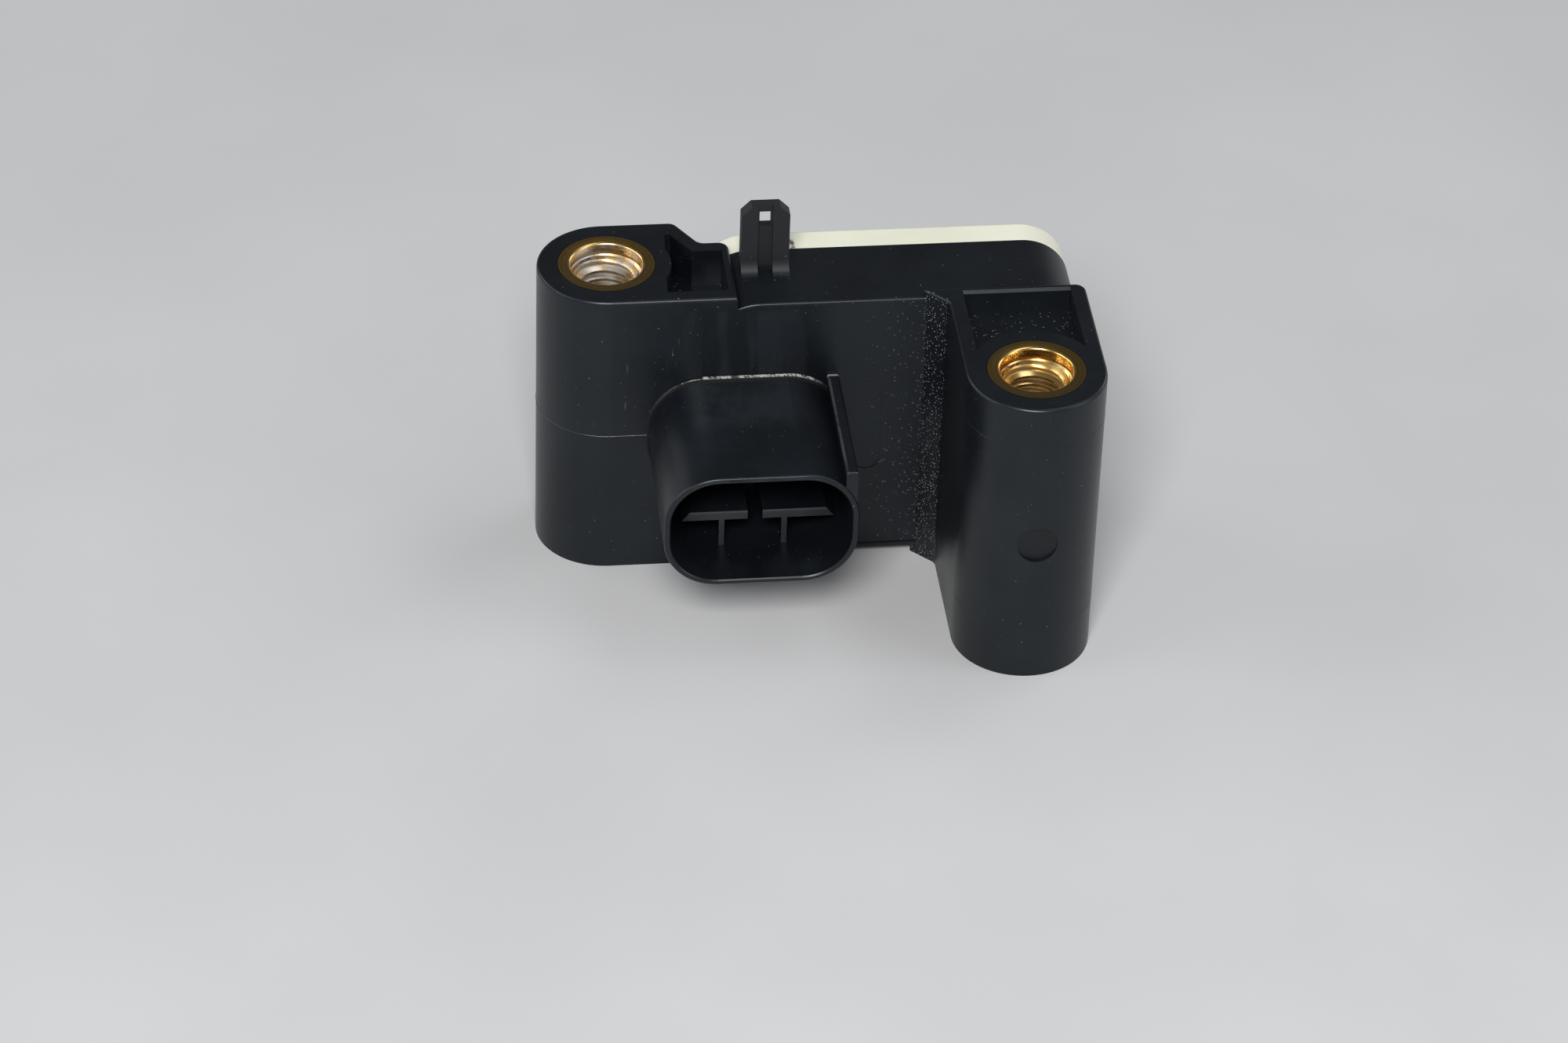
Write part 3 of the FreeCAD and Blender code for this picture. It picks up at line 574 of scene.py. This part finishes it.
def cut_thread(form, x, y):
    """Winds the thread's ridge up a bush's bore, one turn copied upwards; gives its vertices."""
    bush = set(form.verts)
    tooth = [(TOOTH_FOOT_R, -TOOTH_HALF_FOOT), (THREAD_CREST_R, -TOOTH_HALF_TIP),
             (THREAD_CREST_R, TOOTH_HALF_TIP), (TOOTH_FOOT_R, TOOTH_HALF_FOOT)]
    outline = ring(form, [spot(x + r, y, CONE_START + z) for r, z in tooth])
    bmesh.ops.spin(form, geom=outline, cent=spot(x, y, 0), axis=(0, 0, 1),
                   dvec=spot(0, 0, THREAD_PITCH / THREAD_STEPS), angle=2 * math.pi, steps=THREAD_STEPS,
                   use_merge=False, use_duplicate=False)
    turn = [v for v in form.verts if v not in bush]
    turn += [e for e in form.edges if e.verts[0] not in bush]
    turn += [face for face in form.faces if face.verts[0] not in bush]
    laps = int((HEIGHT - 2 * CONE_START) / THREAD_PITCH)
    for lap in range(1, laps + 1):
        copy = bmesh.ops.duplicate(form, geom=turn)["geom"]
        bmesh.ops.translate(form, verts=only(bmesh.types.BMVert, copy), vec=spot(0, 0, lap * THREAD_PITCH))
    bmesh.ops.remove_doubles(form, verts=[v for v in form.verts if v not in bush], dist=THREAD_MERGE)
    bmesh.ops.holes_fill(form, edges=[e for e in form.edges if e.is_boundary], sides=len(tooth))
    return [v for v in form.verts if v not in bush]


def make_bush(name, axis, material):
    """A turned bush with a cut thread, its ridge pared back by the lead-in cone at both ends."""
    x, y = axis
    form = bmesh.new()
    section = ring(form, [spot(x + r, y, z) for r, z in bush_section()])
    bmesh.ops.spin(form, geom=section, cent=spot(x, y, 0), axis=(0, 0, 1), dvec=(0, 0, 0),
                   angle=2 * math.pi, steps=BUSH_STEPS, use_merge=True, use_duplicate=False)
    for vert in cut_thread(form, x, y):
        arm = Vector((vert.co.x - x * MM, vert.co.y - y * MM))
        depth = min(vert.co.z, HEIGHT * MM - vert.co.z) / MM
        cone = LEAD_IN_R + CONE_START - depth
        want = max(arm.length / MM, min(cone, TOOTH_FOOT_R))
        arm *= want * MM / arm.length
        vert.co.x = x * MM + arm.x
        vert.co.y = y * MM + arm.y
    piece = to_piece(form, name, material)
    return piece


def rounded_loop(form, y, grow):
    """A loop of edges round the shroud at depth y, grown outwards by a step."""
    older = set(form.edges)
    half_x = SHROUD_WIDTH / 2 + grow
    half_z = SHROUD_HEIGHT / 2 + grow
    corners = [(-half_x, -half_z), (half_x, -half_z), (half_x, half_z), (-half_x, half_z)]
    loop = ring(form, [spot(SHROUD_X + a, y, SHROUD_Z + b) for a, b in corners])
    bmesh.ops.bevel(form, geom=only(bmesh.types.BMVert, loop), offset=(SHROUD_CORNER_R + grow) * MM,
                    offset_type="OFFSET", segments=SHROUD_CORNER_STEPS, profile=0.5, affect="VERTICES",
                    material=-1)
    return [e for e in form.edges if e not in older]


def make_shroud_root(material):
    """The small blend where the plug shroud grows out of the front plate."""
    form = bmesh.new()
    loops = [rounded_loop(form, y, grow) for y, grow in SHROUD_ROOT]
    for first, second in zip(loops, loops[1:] + loops[:1]):
        bmesh.ops.bridge_loops(form, edges=first + second)
    piece = to_piece(form, "shroud_root_blend", material, crease=60.0)


def half_ridge(form, axis, towards, height, size):
    """A low ridge swept half round a boss, anticlockwise from one direction; gives its last end."""
    sunk = BOSS_R - size["sunk"]
    crest = BOSS_R + size["proud"]
    section = [(sunk, height - size["half"]), (crest, height), (sunk, height + size["half"])]
    x, y = axis
    outline = ring(form, [spot(x + r * towards[0], y + r * towards[1], z) for r, z in section])
    swept = bmesh.ops.spin(form, geom=outline, cent=spot(x, y, 0), axis=(0, 0, 1), dvec=(0, 0, 0),
                           angle=math.pi, steps=RIDGE_STEPS, use_merge=False, use_duplicate=False)
    return only(bmesh.types.BMEdge, swept["geom_last"])


def make_parting_ridge(material):
    """The mould's parting ridge round the left boss and along the plate to the shroud."""
    form = bmesh.new()
    last = half_ridge(form, LEFT_AXIS, (0, 1), HEIGHT / 2, PARTING)
    run = bmesh.ops.extrude_edge_only(form, edges=last)
    bmesh.ops.translate(form, verts=only(bmesh.types.BMVert, run["geom"]), vec=spot(PARTING_RUN, 0, 0))
    bmesh.ops.holes_fill(form, edges=form.edges, sides=3)
    piece = to_piece(form, "parting_ridge", material, crease=20.0)


def make_slide_line(name, height, material):
    """A faint slide line on the front half of the right boss."""
    form = bmesh.new()
    half_ridge(form, RIGHT_AXIS, (-1, 0), height, SLIDE_LINE)
    bmesh.ops.holes_fill(form, edges=form.edges, sides=3)
    piece = to_piece(form, name, material, crease=20.0)


def make_table(material):
    """The pale floor under the sensor."""
    form = bmesh.new()
    bmesh.ops.create_grid(form, x_segments=4, y_segments=4, size=TABLE_HALF)
    table = to_object(form, "table_top", material)


def dress(node, material):
    """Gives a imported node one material."""
    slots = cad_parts[node].material_slots
    if not slots:
        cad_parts[node].data.materials.append(material)
    for each in slots:
        each.material = material


def make_lamp(name, place, size, power, colour):
    """A soft lamp, turned towards the sensor."""
    data = bpy.data.lights.new(name, "AREA")
    data.shape = "RECTANGLE"
    data.size, data.size_y = size
    data.energy = power
    data.color = colour
    lamp = bpy.data.objects.new(name, data)
    lamp.location = place
    lamp.rotation_euler = (Vector(LAMP_AIM) - Vector(place)).to_track_quat("-Z", "Y").to_euler()
    bpy.context.scene.collection.objects.link(lamp)


def make_light():
    """The lamps and a dim grey studio round them."""
    for name, settings in LAMPS.items():
        make_lamp(name, *settings)
    world = bpy.data.worlds.new("studio")
    bpy.context.scene.world = world
    world.use_nodes = True
    studio = world.node_tree.nodes["Background"]
    studio.inputs["Color"].default_value = STUDIO_COLOUR
    studio.inputs["Strength"].default_value = STUDIO_STRENGTH


def make_camera():
    """The photograph's viewpoint, from a fit of the sensor's edges."""
    yaw, pitch, roll = (math.radians(a) for a in CAMERA_TURN)
    ahead = Vector((math.sin(yaw) * math.cos(pitch), math.cos(yaw) * math.cos(pitch), -math.sin(pitch)))
    level = Vector((math.cos(yaw), -math.sin(yaw), 0.0))
    down = ahead.cross(level)
    right = math.cos(roll) * level + math.sin(roll) * down
    below = -math.sin(roll) * level + math.cos(roll) * down
    turn = Matrix((right, -below, -ahead)).transposed()
    data = bpy.data.cameras.new("photo_camera")
    data.sensor_fit = "HORIZONTAL"
    data.sensor_width = CAMERA_SENSOR
    data.lens = CAMERA_LENS
    data.clip_start = CAMERA_NEAR
    camera = bpy.data.objects.new("photo_camera", data)
    camera.matrix_world = Matrix.Translation(CAMERA_PLACE) @ turn.to_4x4()
    bpy.context.scene.collection.objects.link(camera)
    bpy.context.scene.camera = camera


def dress_nodes(body):
    """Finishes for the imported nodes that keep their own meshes."""
    dress("housing", body)
    dress("rear_cover", cream_moulding("cream_cover"))
    dress("cover_seal", soft_seal("black_seal"))
    dress("circuit_board", laminate("green_board"))
    dress("solder_joints", solder("solder"))
    leads = tin("tinned_leads")
    for node in ("accelerometer_leads", "signal_chip_leads"):
        dress(node, leads)
    pins = tin("tinned_pins", warm=0.15)
    for node in ("terminal_supply", "terminal_signal", "terminal_ground"):
        dress(node, pins)
    for node in ("accelerometer_chip", "signal_chip"):
        dress(node, chip_case(node + "_case", node))
    for node in ("capacitor_1", "capacitor_2", "capacitor_3"):
        dress(node, end_capped(node + "_body", node, CAPACITOR_BROWN))
    for node in ("resistor_1", "resistor_2"):
        dress(node, end_capped(node + "_body", node, RESISTOR_BLACK))
    dress("suppressor", end_capped("suppressor_body", "suppressor", SUPPRESSOR_BLACK))


def make_detail(body):
    """The turned bushes, and the marks that the mould left."""
    flash = edge_flash("parting_flash")
    worn = brass("worn_brass", LEFT_AXIS, wear=1.0)
    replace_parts(make_bush("left_bush_turned", LEFT_AXIS, worn), "left_bush")
    clean = brass("clean_brass", RIGHT_AXIS, wear=0.15)
    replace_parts(make_bush("right_bush_turned", RIGHT_AXIS, clean), "right_bush")
    make_shroud_root(flash)
    make_parting_ridge(flash)
    for name, height in SLIDE_LINE_HEIGHTS.items():
        make_slide_line(name, height, body)


def main():
    """Finishes, added pieces, table, light and camera, in that order."""
    bpy.context.scene.view_settings.view_transform = "Standard"
    body = black_moulding("black_moulding")
    dress_nodes(body)
    make_detail(body)
    make_table(table_top("pale_table"))
    make_light()
    make_camera()


main()
